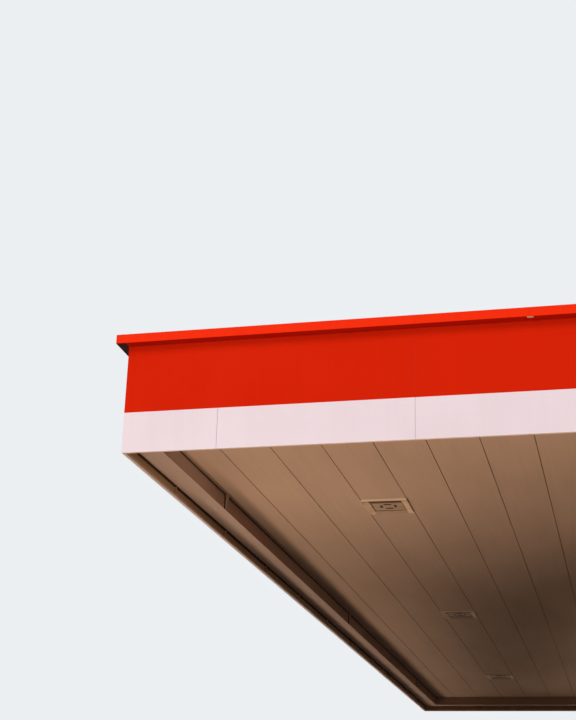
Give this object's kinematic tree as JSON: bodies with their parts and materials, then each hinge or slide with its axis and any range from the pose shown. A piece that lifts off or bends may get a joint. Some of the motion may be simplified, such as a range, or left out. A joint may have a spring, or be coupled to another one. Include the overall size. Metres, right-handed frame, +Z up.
{
  "type": "filling station canopy",
  "caption": "Flat steel canopy over a filling station forecourt: centre columns, panned soffit with recessed lights, box gutter and a red and white fascia.",
  "frame": {"origin": "on the ground, under the middle of the canopy", "axes": "+X along the short front, +Y along the deck pans away from the pictured front, +Z up"},
  "size_m": [7.776, 15.396, 5.4944],
  "materials": {
    "galvanised_plate": "hot-dip galvanised steel",
    "column_paint": "off-white gloss enamel on steel",
    "shop_primer": "grey shop primer on structural steel",
    "deck_paint": "baked polyester paint, warm taupe, semi-gloss",
    "gutter_paint": "baked polyester paint, warm taupe, semi-gloss",
    "light_housing": "folded aluminium sheet",
    "light_frame_paint": "cream powder coat",
    "light_plate_paint": "brown baked enamel",
    "light_lens": "smoked acrylic",
    "white_panel": "white coil-coated composite sheet",
    "white_trim": "white coil-coated aluminium sheet, bent",
    "red_panel": "orange-red satin coating on composite sheet",
    "red_cap": "orange-red satin paint on bent aluminium"
  },
  "bodies": {
    "root": {"base_plates": "galvanised_plate", "columns": "column_paint", "column_caps": "shop_primer", "main_beam": "shop_primer", "purlins_left": "shop_primer", "purlins_right": "shop_primer", "outlookers_front": "shop_primer", "outlookers_rear": "shop_primer", "fascia_frame_front": "shop_primer", "fascia_frame_right": "shop_primer", "fascia_frame_rear": "shop_primer", "fascia_frame_left": "shop_primer", "column_collars": "deck_paint", "deck_pans_left_outer": "deck_paint", "deck_pan_left_lights": "deck_paint", "deck_pans_left_inner": "deck_paint", "deck_pans_right_inner": "deck_paint", "deck_pan_right_lights": "deck_paint", "deck_pans_right_outer": "deck_paint", "gutter_front": "gutter_paint", "gutter_right": "gutter_paint", "gutter_rear": "gutter_paint", "gutter_left": "gutter_paint", "gutter_straps": "gutter_paint", "gutter_brackets": "gutter_paint", "light_housings": "light_housing", "light_frames": "light_frame_paint", "light_plates": "light_plate_paint", "light_lenses": "light_lens", "white_panels_front": "white_panel", "white_panels_right": "white_panel", "white_panels_rear": "white_panel", "white_panels_left": "white_panel", "white_corner_panels": "white_panel", "red_panels_front": "red_panel", "red_panels_right": "red_panel", "red_panels_rear": "red_panel", "red_panels_left": "red_panel", "red_corner_panels": "red_panel", "bottom_trims": "white_trim", "cap_front": "red_cap", "cap_right": "red_cap", "cap_rear": "red_cap", "cap_left": "red_cap"}
  },
  "joints": []
}
